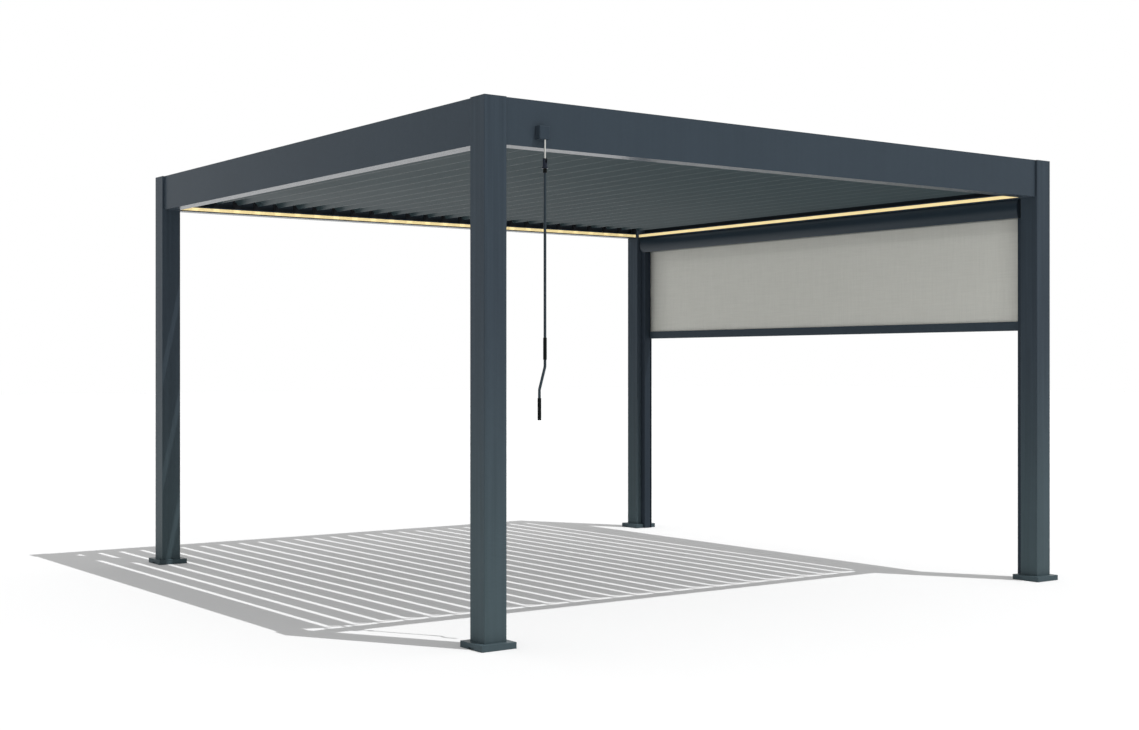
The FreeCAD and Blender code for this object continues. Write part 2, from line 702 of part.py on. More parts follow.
place(rod, CRANK_X, CRANK_Y, "0")
pieces.append(rod)

for name, top, x in (("grip_upper", UPPER_GRIP, CRANK_X),
                     ("grip_lower", LOWER_GRIP, CRANK_X + " - @crank_offset")):
    grip = new_body(name)
    sleeve = add_sketch(grip, "XY_Plane")
    round_hole(sleeve, "0", "0", "@grip_radius")
    extrude(grip, sleeve, "@grip_length", back=True)
    hollow = add_sketch(grip, "XY_Plane")
    round_hole(hollow, "0", "0", "@rod_radius + @running_gap")
    depth = "@grip_length" if name == "grip_upper" else "@grip_length - @rod_wall + @seat_gap"
    extrude(grip, hollow, depth, "Pocket")
    place(grip, x, CRANK_Y, top)
    pieces.append(grip)

# Roller screen under the right beam: a housing with a bulging front and a slot for the fabric
INNER_X = "(@frame_length / 2 - @cassette_inset)"
OUTER_X = "(%s + @cassette_depth)" % INNER_X
HOUSING_TOP = "(@frame_height - @beam_height)"
HOUSING_LOW = "(%s - @cassette_height)" % HOUSING_TOP
BULGE_RADIUS = "((@cassette_height ^ 2 / 4 + @cassette_bulge ^ 2) / (2 * @cassette_bulge))"
INNER_BULGE = "(%s - @cassette_wall)" % BULGE_RADIUS
HALF_ROOM = "(@cassette_height / 2 - @cassette_wall)"
ROOM_X = "(%s + %s - sqrt(%s ^ 2 - %s ^ 2))" % (INNER_X, BULGE_RADIUS, INNER_BULGE, HALF_ROOM)
HOUSING_FRONT = "(@post_side + @cassette_gap_front - @frame_depth / 2)"
HOUSING_REAR = "(@frame_depth / 2 - @post_side - @cassette_gap_rear)"


def housing_outline(sketch):
    outline(sketch, [
        (OUTER_X, HOUSING_LOW),
        (OUTER_X, HOUSING_TOP),
        (INNER_X + " + @cassette_bulge", HOUSING_TOP, BULGE_RADIUS, 1),
        (INNER_X + " + @cassette_bulge", HOUSING_LOW),
    ])


housing = new_body("screen_cassette")
section = add_sketch(housing, "XZ_Plane", "-(%s + @cassette_wall + @seat_gap)" % HOUSING_FRONT)
housing_outline(section)
outline(section, [
    (OUTER_X + " - @cassette_wall", HOUSING_LOW + " + @cassette_wall"),
    (OUTER_X + " - @cassette_wall", HOUSING_TOP + " - @cassette_wall"),
    (ROOM_X, HOUSING_TOP + " - @cassette_wall", INNER_BULGE, 1),
    (ROOM_X, HOUSING_LOW + " + @cassette_wall"),
])
SHELL_LENGTH = "%s - %s - 2 * @cassette_wall - 2 * @seat_gap" % (HOUSING_REAR, HOUSING_FRONT)
extrude(housing, section, SHELL_LENGTH, back=True)
PLANE_X = "(@frame_length / 2 - @screen_inset)"
slit = add_sketch(housing, "XY_Plane", HOUSING_LOW)
rectangle(slit, PLANE_X + " - @cassette_slot / 2", PLANE_X + " + @cassette_slot / 2",
          HOUSING_FRONT, HOUSING_REAR)
extrude(housing, slit, "@cassette_wall", "Pocket", back=True)
pieces.append(housing)

# End plates of the screen housing
plates = []
for name, offset, back in (("end_plate_front", "-" + HOUSING_FRONT, True),
                           ("end_plate_rear", "-" + HOUSING_REAR, False)):
    plate = new_body(name)
    section = add_sketch(plate, "XZ_Plane", offset)
    housing_outline(section)
    extrude(plate, section, "@cassette_wall", back=back)
    plates.append(plate)
pieces.append(gather("screen_end_plates", plates))

# Roller tube inside the housing, on two stubs
ROLLER_X = "(%s - @fabric_thick / 2 - @seat_gap - @roller_radius)" % PLANE_X
ROLLER_Z = "(%s - @cassette_height / 2)" % HOUSING_TOP
ROLLER_FRONT = "(%s + 3 * @cassette_wall)" % HOUSING_FRONT
ROLLER_LENGTH = "(%s - %s - 6 * @cassette_wall)" % (HOUSING_REAR, HOUSING_FRONT)
roller = new_body("screen_roller")
tube = add_sketch(roller, "XZ_Plane", "-" + ROLLER_FRONT)
round_hole(tube, "0", "0", "@roller_radius")
round_hole(tube, "0", "0", "@roller_radius - @roller_wall")
extrude(roller, tube, ROLLER_LENGTH, back=True)
for start, back in (("-" + ROLLER_FRONT, True),
                    ("-(%s + %s)" % (ROLLER_FRONT, ROLLER_LENGTH), False)):
    plug = add_sketch(roller, "XZ_Plane", start)
    round_hole(plug, "0", "0", "@roller_radius - @roller_wall / 2")
    extrude(roller, plug, "2 * @roller_wall", back=back)
    stub = add_sketch(roller, "XZ_Plane", start)
    round_hole(stub, "0", "0", "@stub_radius")
    extrude(roller, stub, "2 * @cassette_wall - @seat_gap", back=not back)
place(roller, ROLLER_X, "0", ROLLER_Z)
pieces.append(roller)

# Screen fabric: a flat sheet from the roller into the bottom bar, its edges in the guides
fabric = new_body("screen_fabric")
GUIDE_FRONT = "(@post_side + @guide_depth - @frame_depth / 2)"
GUIDE_REAR = "(@frame_depth / 2 - @post_side - @guide_depth)"
FABRIC_LOW = FABRIC_BOTTOM + " - @fabric_tuck"
sheet_sketch = add_sketch(fabric, "YZ_Plane", PLANE_X)
rectangle(sheet_sketch, HOUSING_FRONT + " + 3 * @cassette_wall", GUIDE_REAR + " + @fabric_tuck",
          HOUSING_LOW + " - @seat_gap", ROLLER_Z)
extrude(fabric, sheet_sketch, "@fabric_thick", both=True)
sheet_sketch = add_sketch(fabric, "YZ_Plane", PLANE_X)
rectangle(sheet_sketch, GUIDE_FRONT + " - @fabric_tuck", GUIDE_REAR + " + @fabric_tuck",
          FABRIC_BOTTOM, HOUSING_LOW + " - @seat_gap")
extrude(fabric, sheet_sketch, "@fabric_thick", both=True)
sheet_sketch = add_sketch(fabric, "YZ_Plane", PLANE_X)
rectangle(sheet_sketch, GUIDE_FRONT + " + @fabric_tuck", GUIDE_REAR + " - @fabric_tuck",
          FABRIC_LOW, FABRIC_BOTTOM)
extrude(fabric, sheet_sketch, "@fabric_thick", both=True)
pieces.append(fabric)

# Bottom bar: a hollow weight bar with a slot along its top for the fabric
weight = new_body("screen_bottom_bar")
BAR_LOW = "(%s - @bottom_bar_height)" % FABRIC_BOTTOM
HALF_BAR = "@bottom_bar_depth / 2"
section = add_sketch(weight, "XZ_Plane", "-(%s + @bottom_bar_gap)" % GUIDE_FRONT)
rectangle(section, "%s - %s" % (PLANE_X, HALF_BAR), "%s + %s" % (PLANE_X, HALF_BAR),
          BAR_LOW, FABRIC_BOTTOM)
rectangle(section, "%s - %s + @bottom_bar_wall" % (PLANE_X, HALF_BAR),
          "%s + %s - @bottom_bar_wall" % (PLANE_X, HALF_BAR),
          BAR_LOW + " + @bottom_bar_wall", FABRIC_BOTTOM + " - @bottom_bar_wall")
extrude(weight, section, "%s - %s - 2 * @bottom_bar_gap" % (GUIDE_REAR, GUIDE_FRONT), back=True)
slit = add_sketch(weight, "XY_Plane", FABRIC_BOTTOM)
rectangle(slit, PLANE_X + " - @fabric_thick / 2 - @seat_gap",
          PLANE_X + " + @fabric_thick / 2 + @seat_gap", GUIDE_FRONT, GUIDE_REAR)
extrude(weight, slit, "@bottom_bar_wall", "Pocket")
pieces.append(weight)

# Side guides of the screen: channels on the inner faces of the right posts, slotted near their
# outer side
FRONT_FOOT = "@post_side - @frame_depth / 2"
REAR_FOOT = "@frame_depth / 2 - @post_side"
for side, y, turn, left, right in (
        ("front", FRONT_FOOT, 0.0, "@guide_inner", "@guide_outer"),
        ("rear", REAR_FOOT, 180.0, "@guide_outer", "@guide_inner")):
    guide = new_body("screen_guide_" + side)
    channel = add_sketch(guide, "XY_Plane", "@cover_height + @seat_gap")
    outline(channel, [
        ("-" + left, "0"),
        (right, "0"),
        (right, "@guide_depth"),
        ("@guide_slot / 2", "@guide_depth"),
        ("@guide_slot / 2", "@guide_depth - @guide_wall"),
        (right + " - @guide_wall", "@guide_depth - @guide_wall"),
        (right + " - @guide_wall", "@guide_wall"),
        ("@guide_wall - " + left, "@guide_wall"),
        ("@guide_wall - " + left, "@guide_depth - @guide_wall"),
        ("-@guide_slot / 2", "@guide_depth - @guide_wall"),
        ("-@guide_slot / 2", "@guide_depth"),
        ("-" + left, "@guide_depth"),
    ])
    extrude(guide, channel, HOUSING_LOW + " - @cover_height - 2 * @seat_gap")
    place(guide, PLANE_X, y, "0", turn=turn)
    pieces.append(guide)

doc.recompute()

faults = []
for obj in doc.Objects:
    if "Invalid" in obj.State or "Error" in obj.State:
        faults.append(obj.Label)
for piece in pieces:
    if piece.Shape.isNull() or not piece.Shape.isValid():
        faults.append(piece.Label)
if faults:
    raise RuntimeError("faulty: " + ", ".join(faults))

os.makedirs("parts", exist_ok=True)
for piece in pieces:
    piece.Shape.exportStep(os.path.join("parts", piece.Label + ".step"))
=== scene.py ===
import math

import bmesh
import bpy
from mathutils import Matrix, Vector


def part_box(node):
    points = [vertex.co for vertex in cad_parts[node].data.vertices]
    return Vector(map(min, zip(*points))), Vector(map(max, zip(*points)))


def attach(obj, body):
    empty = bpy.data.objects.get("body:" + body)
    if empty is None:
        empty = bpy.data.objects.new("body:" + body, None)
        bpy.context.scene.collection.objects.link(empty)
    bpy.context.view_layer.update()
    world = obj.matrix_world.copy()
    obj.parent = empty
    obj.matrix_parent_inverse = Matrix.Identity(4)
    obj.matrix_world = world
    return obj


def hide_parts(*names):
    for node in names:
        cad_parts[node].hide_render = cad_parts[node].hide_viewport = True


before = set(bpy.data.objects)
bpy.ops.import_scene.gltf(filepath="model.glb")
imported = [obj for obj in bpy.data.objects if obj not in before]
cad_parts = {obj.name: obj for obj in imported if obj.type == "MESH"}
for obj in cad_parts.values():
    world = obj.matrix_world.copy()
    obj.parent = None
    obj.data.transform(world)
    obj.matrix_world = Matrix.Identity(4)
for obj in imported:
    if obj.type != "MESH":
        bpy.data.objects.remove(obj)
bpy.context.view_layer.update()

# Posts: square aluminium tubes with a closed top, powder coated in a fine matt blue grey.
# They stand on welded foot plates, and their corners are only slightly rounded by the extrusion.


def linear(red, green, blue):
    """A colour picked on a screen, 0 to 255, as the shader wants it."""
    shades = [channel / 255.0 for channel in (red, green, blue)]
    return [c / 12.92 if c < 0.04045 else ((c + 0.055) / 1.055) ** 2.4 for c in shades] + [1.0]


def link(tree, source, output, target, entry):
    tree.links.new(source.outputs[output], target.inputs[entry])


first_colour, second_colour, mixed_colour = 6, 7, 2  # places of a Mix node's colour sockets


def coat_group():
    """Powder coat: broad faint clouds of tone, faint streaks left by rain, a pale colour painted
    near the ground for light bounced up from the floor, and a fine grain that breaks the gloss.
    Faces that look down get a stronger coat, a painted sheen."""
    group = bpy.data.node_groups.new("powder coat", "ShaderNodeTree")
    group.interface.new_socket("Colour", in_out="INPUT", socket_type="NodeSocketColor")
    group.interface.new_socket("Gloss low", in_out="INPUT", socket_type="NodeSocketFloat")
    group.interface.new_socket("Gloss high", in_out="INPUT", socket_type="NodeSocketFloat")
    streaked = group.interface.new_socket("Streaks", in_out="INPUT", socket_type="NodeSocketFloat")
    streaked.default_value = 1.0
    # Strength of the pale colour painted near the ground for light bounced up from the floor.
    bounce_input = group.interface.new_socket("Floor bounce", in_out="INPUT", socket_type="NodeSocketFloat")
    bounce_input.default_value = 1.0
    group.interface.new_socket("Colour", in_out="OUTPUT", socket_type="NodeSocketColor")
    group.interface.new_socket("Roughness", in_out="OUTPUT", socket_type="NodeSocketFloat")
    group.interface.new_socket("Sheen", in_out="OUTPUT", socket_type="NodeSocketFloat")
    group.interface.new_socket("Normal", in_out="OUTPUT", socket_type="NodeSocketVector")
    start = group.nodes.new("NodeGroupInput")
    end = group.nodes.new("NodeGroupOutput")
    place = group.nodes.new("ShaderNodeTexCoord")
    clouds = group.nodes.new("ShaderNodeTexNoise")
    clouds.inputs["Scale"].default_value = 2.2
    clouds.inputs["Detail"].default_value = 4.0
    link(group, place, "Object", clouds, "Vector")
    tone = group.nodes.new("ShaderNodeMapRange")
    tone.inputs["To Min"].default_value = 0.93
    tone.inputs["To Max"].default_value = 1.07
    link(group, clouds, "Fac", tone, "Value")
    downward = group.nodes.new("ShaderNodeMapping")
    downward.inputs["Scale"].default_value = (1.0, 1.0, 0.02)
    link(group, place, "Object", downward, "Vector")
    streaks = group.nodes.new("ShaderNodeTexNoise")
    streaks.inputs["Scale"].default_value = 45.0
    streaks.inputs["Detail"].default_value = 3.0
    link(group, downward, "Vector", streaks, "Vector")
    washed = group.nodes.new("ShaderNodeMapRange")
    washed.inputs["To Min"].default_value = -0.04
    washed.inputs["To Max"].default_value = 0.04
    link(group, streaks, "Fac", washed, "Value")
    both = group.nodes.new("ShaderNodeMath")
    both.operation = "MULTIPLY_ADD"
    link(group, washed, "Result", both, 0)
    link(group, start, "Streaks", both, 1)
    link(group, tone, "Result", both, 2)
    tint = group.nodes.new("ShaderNodeVectorMath")
    tint.operation = "SCALE"
    link(group, start, "Colour", tint, 0)
    link(group, both, "Value", tint, "Scale")
    position = group.nodes.new("ShaderNodeSeparateXYZ")
    link(group, place, "Object", position, "Vector")
    # Painted floor bounce: faces are mixed towards a pale colour near the ground, standing in for
    # light bounced up from the floor.
    low = group.nodes.new("ShaderNodeMapRange")
    low.interpolation_type = "SMOOTHSTEP"
    low.inputs["From Min"].default_value = 1.7
    low.inputs["From Max"].default_value = -0.3
    low.inputs["To Max"].default_value = 0.15
    link(group, position, "Z", low, "Value")
    patchy = group.nodes.new("ShaderNodeMath")
    patchy.operation = "MULTIPLY"
    link(group, low, "Result", patchy, 0)
    link(group, tone, "Result", patchy, 1)
    bounce_amount = group.nodes.new("ShaderNodeMath")
    bounce_amount.operation = "MULTIPLY"
    link(group, patchy, "Value", bounce_amount, 0)
    link(group, start, "Floor bounce", bounce_amount, 1)
    bounce_film = group.nodes.new("ShaderNodeMix")
    bounce_film.data_type = "RGBA"
    bounce_film.inputs[second_colour].default_value = linear(131, 158, 154)
    link(group, bounce_amount, "Value", bounce_film, 0)
    link(group, tint, "Vector", bounce_film, first_colour)
    link(group, bounce_film, mixed_colour, end, "Colour")
    # Painted sheen: only faces that look down get the coat, so they catch the pale floor in it and
    # read lighter.
    facing = group.nodes.new("ShaderNodeSeparateXYZ")
    link(group, place, "Normal", facing, "Vector")
    downward_sheen = group.nodes.new("ShaderNodeMapRange")
    downward_sheen.inputs["From Min"].default_value = -0.80
    downward_sheen.inputs["From Max"].default_value = -0.95
    downward_sheen.inputs["To Max"].default_value = 0.385
    link(group, facing, "Z", downward_sheen, "Value")
    link(group, downward_sheen, "Result", end, "Sheen")
    grain = group.nodes.new("ShaderNodeTexNoise")
    grain.inputs["Scale"].default_value = 850.0
    grain.inputs["Detail"].default_value = 2.0
    link(group, place, "Object", grain, "Vector")
    gloss = group.nodes.new("ShaderNodeMapRange")
    link(group, grain, "Fac", gloss, "Value")
    link(group, start, "Gloss low", gloss, "To Min")
    link(group, start, "Gloss high", gloss, "To Max")
    link(group, gloss, "Result", end, "Roughness")
    bump = group.nodes.new("ShaderNodeBump")
    bump.inputs["Strength"].default_value = 0.12
    bump.inputs["Distance"].default_value = 0.0004
    link(group, grain, "Fac", bump, "Height")
    link(group, bump, "Normal", end, "Normal")
    return group


def coated(name, colour, low=0.22, high=0.34, specular=0.05):
    """A painted metal finish made from the powder coat group. Its roughness runs from low to
    high with the grain."""
    finish = bpy.data.materials.new(name)
    finish.use_nodes = True
    tree = finish.node_tree
    shader = tree.nodes["Principled BSDF"]
    coat = tree.nodes.new("ShaderNodeGroup")
    coat.node_tree = powder_coat
    coat.inputs["Colour"].default_value = colour
    coat.inputs["Gloss low"].default_value = low
    coat.inputs["Gloss high"].default_value = high
    link(tree, coat, "Colour", shader, "Base Color")
    link(tree, coat, "Roughness", shader, "Roughness")
    # Coat Weight carries the painted sheen of faces that look down.
    link(tree, coat, "Sheen", shader, "Coat Weight")
    link(tree, coat, "Normal", shader, "Normal")
    shader.inputs["Coat Roughness"].default_value = 0.25
    shader.inputs["Specular IOR Level"].default_value = specular
    return finish


def keep(work, name, body, finish):
    """Turn a bmesh into a finished piece that rides on a body. Its large faces stay flat and the
    narrow ones between them carry the rounding."""
    mesh = bpy.data.meshes.new(name)
    work.to_mesh(mesh)
    work.free()
    mesh.polygons.foreach_set("use_smooth", [True] * len(mesh.polygons))
    mesh.set_sharp_from_angle(angle=math.radians(50))
    mesh.materials.append(finish)
    piece = bpy.data.objects.new(name, mesh)
    bpy.context.scene.collection.objects.link(piece)
    normals = piece.modifiers.new("weighted normals", "WEIGHTED_NORMAL")
    normals.keep_sharp = True
    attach(piece, body)
    return piece


def joined(node):
    """The loose triangles of a CAD solid joined at their corners."""
    work = bmesh.new()
    work.from_mesh(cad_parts[node].data)
    bmesh.ops.remove_doubles(work, verts=work.verts, dist=0.00002)
    return work


def flattened(work):
    """Joined triangles made one clean surface with flat faces."""
    bmesh.ops.dissolve_limit(work, angle_limit=math.radians(0.3), verts=work.verts,
                             edges=work.edges)
    return work


def ease(work, width, segments):
    """Round the sharp edges of a bmesh."""
    least = math.radians(35)
    sharp = [edge for edge in work.edges if edge.is_manifold and edge.calc_face_angle() > least]
    bmesh.ops.bevel(work, geom=sharp, offset=width, offset_type="OFFSET", segments=segments,
                    profile=0.5, affect="EDGES", clamp_overlap=True, material=-1)


def dressed(node, body, finish, width, segments=2, work=None):
    """A CAD solid, or an edited copy of it, shown with eased edges and its own finish."""
    if work is None:
        work = flattened(joined(node))
    ease(work, width, segments)
    piece = keep(work, node + "_shown", body, finish)
    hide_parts(node)
    return piece


powder_coat = coat_group()
post_paint = coated("post paint", linear(60, 70, 79))
post_paint.node_tree.nodes["Group"].inputs["Streaks"].default_value = 7.0
for corner in ("front_left", "rear_left", "front_right", "rear_right"):
    dressed("post_" + corner, "frame", post_paint, width=0.0006)

# Base covers: pressed aluminium shells dropped over the foot plates before the post is fixed.
# They have a soft upper edge and a low notch on the outer side that lets the rain out, and
# the right ones are cut open where a guide of the screen stands on the floor.


def cut_for_guide(cover, side):
    """The cover of a right post, open where the screen's guide runs down past it."""
    low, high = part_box("screen_guide_" + side)
    play = 0.0008
    start, stop = low.x - play, high.x + play
    post_face = max(abs(low.y), abs(high.y)) + play
    for cut in (start, stop):
        bmesh.ops.bisect_plane(cover, geom=cover.verts[:] + cover.edges[:] + cover.faces[:],
                               dist=0.000001, plane_co=(cut, 0.0, 0.0),
                               plane_no=(1.0, 0.0, 0.0))
    gone = []
    for face in cover.faces:
        middle = face.calc_center_median()
        if start < middle.x < stop and abs(middle.y) < post_face:
            gone.append(face)
    bmesh.ops.delete(cover, geom=gone, context="FACES")
    rims = [edge for edge in cover.edges if edge.is_boundary]
    bmesh.ops.holes_fill(cover, edges=rims, sides=0)
    bmesh.ops.recalc_face_normals(cover, faces=cover.faces)


cover_paint = coated("cover paint", linear(56, 65, 75), low=0.28, high=0.42)
for corner in ("front_left", "rear_left", "front_right", "rear_right"):
    name = "base_cover_" + corner
    shell = joined(name)
    if corner.endswith("right"):
        cut_for_guide(shell, corner.split("_")[0])
    cover = dressed(name, "frame", cover_paint, width=0.0022, segments=3, work=flattened(shell))

# Beams: extruded aluminium with a closed outer chamber and an open gutter behind it. The
# ends butt against the posts. Painted shade darkens the bottom of the gutters, where little
# light reaches, and thins out up their walls.
beam_paint = coated("beam paint", linear(60, 70, 79))
tree = beam_paint.node_tree
shader = tree.nodes["Principled BSDF"]
clean = shader.inputs["Base Color"].links[0].from_socket
place = tree.nodes.new("ShaderNodeTexCoord")
position = tree.nodes.new("ShaderNodeSeparateXYZ")
link(tree, place, "Object", position, "Vector")
# Painted shade in the gutters: their bottoms and the foot of their walls are mixed towards near
# black.
gutter_middles = {"X": 1.93185, "Y": 1.89185}
half_gutter = 0.02565
shade_starts, shade_full = 2.2755, 2.2775
shade_thins, shade_ends = 2.33, 2.40
gutters = []
for axis, middle in gutter_middles.items():
    distance = tree.nodes.new("ShaderNodeMath")
    distance.operation = "ABSOLUTE"
    link(tree, position, axis, distance, 0)
    inside = tree.nodes.new("ShaderNodeMath")
    inside.operation = "COMPARE"
    inside.inputs[1].default_value = middle
    inside.inputs[2].default_value = half_gutter
    link(tree, distance, "Value", inside, 0)
    gutters.append(inside)
either = tree.nodes.new("ShaderNodeMath")
either.operation = "MAXIMUM"
link(tree, gutters[0], "Value", either, 0)
link(tree, gutters[1], "Value", either, 1)
above = tree.nodes.new("ShaderNodeMapRange")
above.inputs["From Min"].default_value = shade_starts
above.inputs["From Max"].default_value = shade_full
link(tree, position, "Z", above, "Value")
below = tree.nodes.new("ShaderNodeMapRange")
below.inputs["From Min"].default_value = shade_thins
below.inputs["From Max"].default_value = shade_ends
below.inputs["To Min"].default_value = 0.8
below.inputs["To Max"].default_value = 0.0
link(tree, position, "Z", below, "Value")
banded = tree.nodes.new("ShaderNodeMath")
banded.operation = "MULTIPLY"
link(tree, above, "Result", banded, 0)
link(tree, below, "Result", banded, 1)
gutter_shade_mask = tree.nodes.new("ShaderNodeMath")
gutter_shade_mask.operation = "MULTIPLY"
link(tree, either, "Value", gutter_shade_mask, 0)
link(tree, banded, "Value", gutter_shade_mask, 1)
# Mix the coat towards near black as painted shade in the gutters.
gutter_shade = tree.nodes.new("ShaderNodeMix")
gutter_shade.data_type = "RGBA"
gutter_shade.inputs[second_colour].default_value = linear(16, 18, 20)
link(tree, gutter_shade_mask, "Value", gutter_shade, 0)
tree.links.new(clean, gutter_shade.inputs[first_colour])
link(tree, gutter_shade, mixed_colour, shader, "Base Color")
for side in ("front", "rear", "left", "right"):
    dressed("beam_" + side, "frame", beam_paint, width=0.0010)

# Light strips: warm white diodes under a milky cover, pressed into the groove along the
# inner face of each beam.
glow = bpy.data.materials.new("light strip")
glow.use_nodes = True
tree = glow.node_tree
shader = tree.nodes["Principled BSDF"]
shader.inputs["Roughness"].default_value = 0.4
place = tree.nodes.new("ShaderNodeTexCoord")
waves = tree.nodes.new("ShaderNodeTexNoise")
waves.inputs["Scale"].default_value = 9.0
link(tree, place, "Object", waves, "Vector")
warm = tree.nodes.new("ShaderNodeMix")
warm.data_type = "RGBA"
warm.inputs[first_colour].default_value = linear(249, 224, 160)
warm.inputs[second_colour].default_value = linear(251, 229, 172)
link(tree, waves, "Fac", warm, 0)
link(tree, warm, mixed_colour, shader, "Base Color")
link(tree, warm, mixed_colour, shader, "Emission Color")
shader.inputs["Emission Strength"].default_value = 0.53
for side in ("front", "rear", "left", "right"):
    light = dressed("light_" + side, "frame", glow, width=0.0012)
    light.visible_diffuse = False
    light.visible_glossy = False

# Bearing strips: a black plastic rail on the gutter lip with a bored block for each louvre,
# moulded in lengths and clipped over the lip.


def moulded(name, colour, roughness=0.55):
    """Moulded plastic: even colour with a fine spark-eroded grain."""
    finish = bpy.data.materials.new(name)
    finish.use_nodes = True
    tree = finish.node_tree
    shader = tree.nodes["Principled BSDF"]
    place = tree.nodes.new("ShaderNodeTexCoord")
    grain = tree.nodes.new("ShaderNodeTexNoise")
    grain.inputs["Scale"].default_value = 1400.0
    link(tree, place, "Object", grain, "Vector")
    shade = tree.nodes.new("ShaderNodeMix")
    shade.data_type = "RGBA"
    shade.inputs[first_colour].default_value = colour
    lighter = [channel * 1.25 for channel in colour[:3]] + [1.0]
    shade.inputs[second_colour].default_value = lighter
    link(tree, grain, "Fac", shade, 0)
    link(tree, shade, mixed_colour, shader, "Base Color")
    shader.inputs["Roughness"].default_value = roughness
    bump = tree.nodes.new("ShaderNodeBump")
    bump.inputs["Strength"].default_value = 0.15
    bump.inputs["Distance"].default_value = 0.0002
    link(tree, grain, "Fac", bump, "Height")
    link(tree, bump, "Normal", shader, "Normal")
    shader.inputs["Specular IOR Level"].default_value = 0.08
    return finish


black_plastic = moulded("black plastic", linear(22, 24, 27))
for side in ("front", "rear"):
    dressed("pivot_blocks_" + side, "frame", black_plastic, width=0.0006)

# Louvres: hollow extruded blades with a ridged top and two lapping lips, closed by end caps
# that carry the pivot and link pins. Each turns on its own pair of pins.
louvre_paint = coated("louvre paint", linear(55, 70, 74), low=0.28, high=0.40, specular=0.29)
for number in range(1, 27):
    name = "louvre_%02d" % number
    dressed(name, name, louvre_paint, width=0.0005)

# Link bar and drive arm: a flat aluminium bar bored for every link pin, and a turned steel
# shaft with a short arm that pushes it along.


def bare_metal(name, colour, roughness, stretch):
    """Uncoated metal with fine drawing marks along one direction."""
    finish = bpy.data.materials.new(name)
    finish.use_nodes = True
    tree = finish.node_tree
    shader = tree.nodes["Principled BSDF"]
    shader.inputs["Metallic"].default_value = 1.0
    place = tree.nodes.new("ShaderNodeTexCoord")
    along = tree.nodes.new("ShaderNodeMapping")
    along.inputs["Scale"].default_value = stretch
    link(tree, place, "Object", along, "Vector")
    marks = tree.nodes.new("ShaderNodeTexNoise")
    marks.inputs["Scale"].default_value = 60.0
    marks.inputs["Detail"].default_value = 5.0
    link(tree, along, "Vector", marks, "Vector")
    shade = tree.nodes.new("ShaderNodeMix")
    shade.data_type = "RGBA"
    shade.inputs[first_colour].default_value = colour
    darker = [channel * 0.8 for channel in colour[:3]] + [1.0]
    shade.inputs[second_colour].default_value = darker
    link(tree, marks, "Fac", shade, 0)
    link(tree, shade, mixed_colour, shader, "Base Color")
    rough = tree.nodes.new("ShaderNodeMapRange")
    rough.inputs["To Min"].default_value = roughness - 0.06
    rough.inputs["To Max"].default_value = roughness + 0.08
    link(tree, marks, "Fac", rough, "Value")
    link(tree, rough, "Result", shader, "Roughness")
    return finish


drawn_aluminium = bare_metal("drawn aluminium", linear(196, 198, 200), roughness=0.38,
                             stretch=(1.0, 30.0, 30.0))
turned_steel = bare_metal("turned steel", linear(200, 200, 198), roughness=0.28,
                          stretch=(20.0, 20.0, 20.0))
dressed("tie_bar", "link_bar", drawn_aluminium, width=0.0006)
dressed("drive_arm", "drive", turned_steel, width=0.0006)

# Gearbox: a small cast case screwed to the front beam, painted like the frame but glossier.
# The shaft of the drive arm enters at its back and the crank's pin comes out below.
gear_paint = coated("gearbox paint", linear(57, 67, 76), low=0.26, high=0.4, specular=0.02)
dressed("crank_gearbox", "frame", gear_paint, width=0.0012, segments=3)

# Crank: a bright input pin, a dark forked joint with its cross pin, a black collar and a
# painted tube with an offset, which ends in a pair of black sleeve grips.
joint_paint = coated("joint coat", linear(36, 41, 52), low=0.26, high=0.4, specular=0.1)
rod_paint = coated("rod coat", linear(48, 58, 65), low=0.26, high=0.4, specular=0.1)
grip_black = moulded("grip black", linear(12, 16, 16), roughness=0.5)
pin_steel = bare_metal("plated pin", linear(212, 212, 208), roughness=0.28,
                       stretch=(20.0, 20.0, 20.0))
tree = pin_steel.node_tree
shader = tree.nodes["Principled BSDF"]
bright = shader.inputs["Base Color"].links[0].from_socket
place = tree.nodes.new("ShaderNodeTexCoord")
height = tree.nodes.new("ShaderNodeSeparateXYZ")
link(tree, place, "Object", height, "Vector")
# Painted shade: the pin is dark below the top of the joint, inside its fork.
joint_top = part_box("crank_joint")[1].z
dark_in_joint = tree.nodes.new("ShaderNodeMapRange")
dark_in_joint.inputs["From Min"].default_value = joint_top - 0.002
dark_in_joint.inputs["From Max"].default_value = joint_top + 0.001
link(tree, height, "Z", dark_in_joint, "Value")
shade = tree.nodes.new("ShaderNodeMix")
shade.data_type = "RGBA"
shade.inputs[first_colour].default_value = linear(24, 26, 30)
link(tree, dark_in_joint, "Result", shade, 0)
tree.links.new(bright, shade.inputs[second_colour])
link(tree, shade, mixed_colour, shader, "Base Color")
dressed("crank_pin", "crank_input", pin_steel, width=0.0005)
dressed("crank_joint", "crank", joint_paint, width=0.0006)
dressed("crank_collar", "crank", grip_black, width=0.0006)
dressed("crank_rod", "crank", rod_paint, width=0.0003)
dressed("grip_upper", "upper_grip", grip_black, width=0.0012, segments=3)
dressed("grip_lower", "lower_grip", grip_black, width=0.0012, segments=3)

# Screen housing: an extruded aluminium cover with a bulging front, closed by flat end
# plates, screwed up under the right beam, with the roller inside. The housing gets a painted
# sheen, a stronger coat where the bulge turns down to the pale ground.
bar_paint = coated("screen frame paint", linear(60, 70, 79))
housing_paint = coated("housing paint", linear(44, 55, 64), low=0.2, high=0.3, specular=0.06)
tree = housing_paint.node_tree
place = tree.nodes.new("ShaderNodeTexCoord")
facing = tree.nodes.new("ShaderNodeSeparateXYZ")
link(tree, place, "Normal", facing, "Vector")
